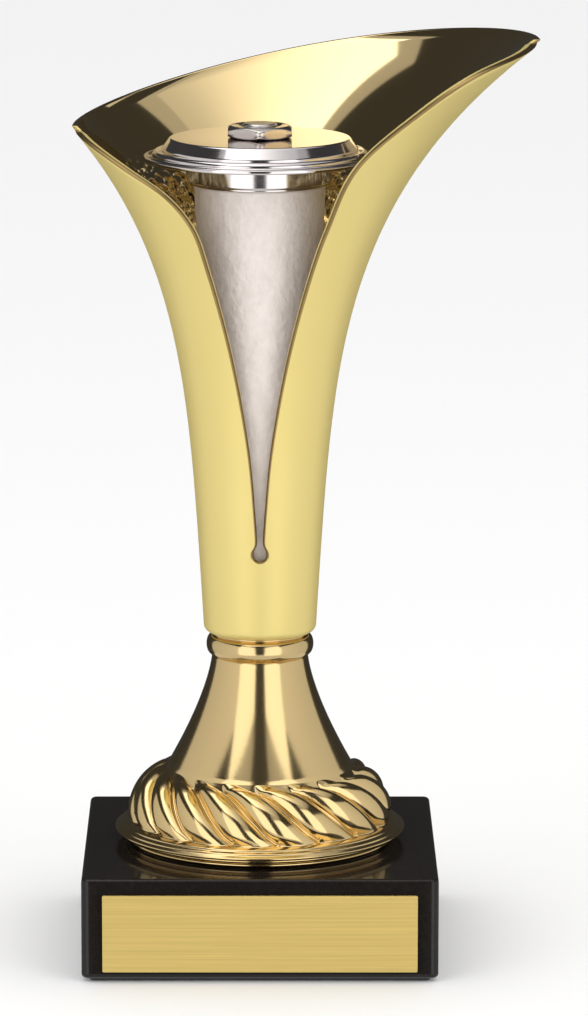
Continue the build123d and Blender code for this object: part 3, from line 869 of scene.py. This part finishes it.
buildStone()
buildPlate()
buildFelt()
for node, material in (("plate_tape", tape), ("base_washer", zincSteel), ("lock_washer", zincSteel)):
    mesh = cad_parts[node].data
    mesh.materials.clear()
    mesh.materials.append(material)
print("stone, plate and felt made")


# ---- room, lights and camera
def stagePiece(name, spots, material):
    mesh = bpy.data.meshes.new(name)
    mesh.from_pydata(spots, [], [(0, 1, 2, 3)])
    mesh.materials.append(material)
    piece = bpy.data.objects.new(name, mesh)
    bpy.context.scene.collection.objects.link(piece)
    return piece


def buildFloor():
    half = 4.0
    material = newMaterial("pale floor", (0.90, 0.90, 0.90), 0.0, 0.75)[0]
    spots = [(-half, -half, 0), (half, -half, 0), (half, half, 0), (-half, half, 0)]
    floor = stagePiece("floor", spots, material)
    floor.visible_glossy = False


def buildWorld():
    look = {"lighting": 1.08, "reflected": 0.045}
    world = bpy.data.worlds.new("studio")
    world.use_nodes = True
    world.cycles.sampling_method = "NONE"
    bpy.context.scene.world = world
    nodes, links = world.node_tree.nodes, world.node_tree.links
    paths = nodes.new("ShaderNodeLightPath")
    plain = nodes["Background"]
    plain.inputs["Color"].default_value = (1, 1, 1, 1)
    dim = mathNode(nodes, links, "MULTIPLY", paths.outputs["Is Glossy Ray"],
                   look["reflected"] - look["lighting"])
    links.new(mathNode(nodes, links, "ADD", dim, look["lighting"]), plain.inputs["Strength"])


def card(name, spots, strength, far=None, along="X"):
    # a glowing panel that only polished surfaces see; it fades to far along one axis
    material, nodes, links, shader = newMaterial(name, (0, 0, 0), 0.0, 1.0, Specular_IOR_Level=0.0,
                                                 Emission_Color=(1, 1, 1, 1), Emission_Strength=strength)
    material.cycles.emission_sampling = "NONE"
    if far is not None:
        spread = [s["XYZ".index(along)] for s in spots]
        parts = nodes.new("ShaderNodeSeparateXYZ")
        links.new(nodes.new("ShaderNodeTexCoord").outputs["Object"], parts.inputs[0])
        fade = nodes.new("ShaderNodeMapRange")
        fade.interpolation_type = "SMOOTHSTEP"
        for label, value in (("From Min", min(spread)), ("From Max", max(spread)),
                             ("To Min", strength), ("To Max", far)):
            fade.inputs[label].default_value = value
        links.new(parts.outputs[along], fade.inputs["Value"])
        links.new(fade.outputs["Result"], shader.inputs["Emission Strength"])
    piece = stagePiece(name, spots, material)
    piece.visible_camera = False
    piece.visible_diffuse = False
    piece.visible_shadow = False
    piece.visible_transmission = False


def buildCards():
    look = {"gap": 9.0, "bright": 47.0, "side": 124.0,      # degrees round from the front
            "away": 1.0, "lean": 0.85, "low": -0.45, "inner": 0.56, "outer": 0.84, "sideHigh": 0.66,
            "front": 1.5, "flank": (0.80, 0.62)}
    lying = {       # left, right, front, back and height, then the strength and what it fades to
        "top_card": ((-0.54, 0.60, -0.75, 0.42, 1.1), (2.0, 0.64)),
        "top_card_surround": ((-0.66, 0.78, -0.75, 0.60, 1.12), (0.46,)),
        "left_top_wing": ((-0.66, -0.26, -1.5, -0.75, 1.12), (0.46,)),
        "right_top_wing": ((0.26, 0.78, -1.5, -0.75, 1.12), (0.46,)),
        "table_card": ((-1.2, 1.2, -1.2, 0.5, -0.35), (0.75,)),
    }

    def spot(side, degrees, reach, z):
        a = math.radians(degrees)
        return (side * reach * math.sin(a), -reach * math.cos(a), z)

    def flat(left, right, front, back, z):
        return [(left, front, z), (right, front, z), (right, back, z), (left, back, z)]

    far, low, near = look["away"], look["low"], look["away"] * look["lean"]
    for side, label in ((-1, "left"), (1, "right")):
        card(label + "_front_card", [spot(side, look["gap"], far, low), spot(side, look["bright"], far, low),
                                     spot(side, look["bright"], near, look["outer"]),
                                     spot(side, look["gap"] + 2, near, look["inner"])], look["front"])
        card(label + "_side_card", [spot(side, look["bright"], far, low), spot(side, look["side"], far, low),
                                    spot(side, look["side"], far, look["sideHigh"]),
                                    spot(side, look["bright"], far, look["sideHigh"])], *look["flank"], "Y")
    for name, (sides, strengths) in lying.items():
        card(name, flat(*sides), *strengths)


def softbox(name, side):
    # a soft area light that diffuse surfaces see and reflections don't
    look = {"spot": (0.75 * side, -0.75, 0.55), "target": (0, 0, 0.10), "size": (0.7, 0.9), "power": 2.5}
    light = bpy.data.lights.new(name, "AREA")
    light.shape = "RECTANGLE"
    light.size, light.size_y = look["size"]
    light.energy = look["power"]
    lamp = bpy.data.objects.new(name, light)
    lamp.location = look["spot"]
    aim = Vector(look["target"]) - Vector(look["spot"])
    lamp.rotation_euler = aim.to_track_quat("-Z", "Y").to_euler()
    lamp.visible_camera = False
    lamp.visible_glossy = False
    bpy.context.scene.collection.objects.link(lamp)


def buildCamera():
    look = {"spot": (0, -1.2, 0.3206), "tilt": 79.15, "lens": 211.5, "shift": 0.0335}
    camera = bpy.data.objects.new("camera", bpy.data.cameras.new("camera"))
    camera.location = look["spot"]
    camera.rotation_euler = (math.radians(look["tilt"]), 0, 0)
    camera.data.lens = look["lens"]
    camera.data.shift_x = look["shift"]
    bpy.context.scene.collection.objects.link(camera)
    bpy.context.scene.camera = camera


buildFloor()
buildWorld()
buildCards()
softbox("left_softbox", -1)
softbox("right_softbox", 1)
buildCamera()
bpy.context.scene.view_settings.view_transform = "Standard"
print("room, lights and camera made")
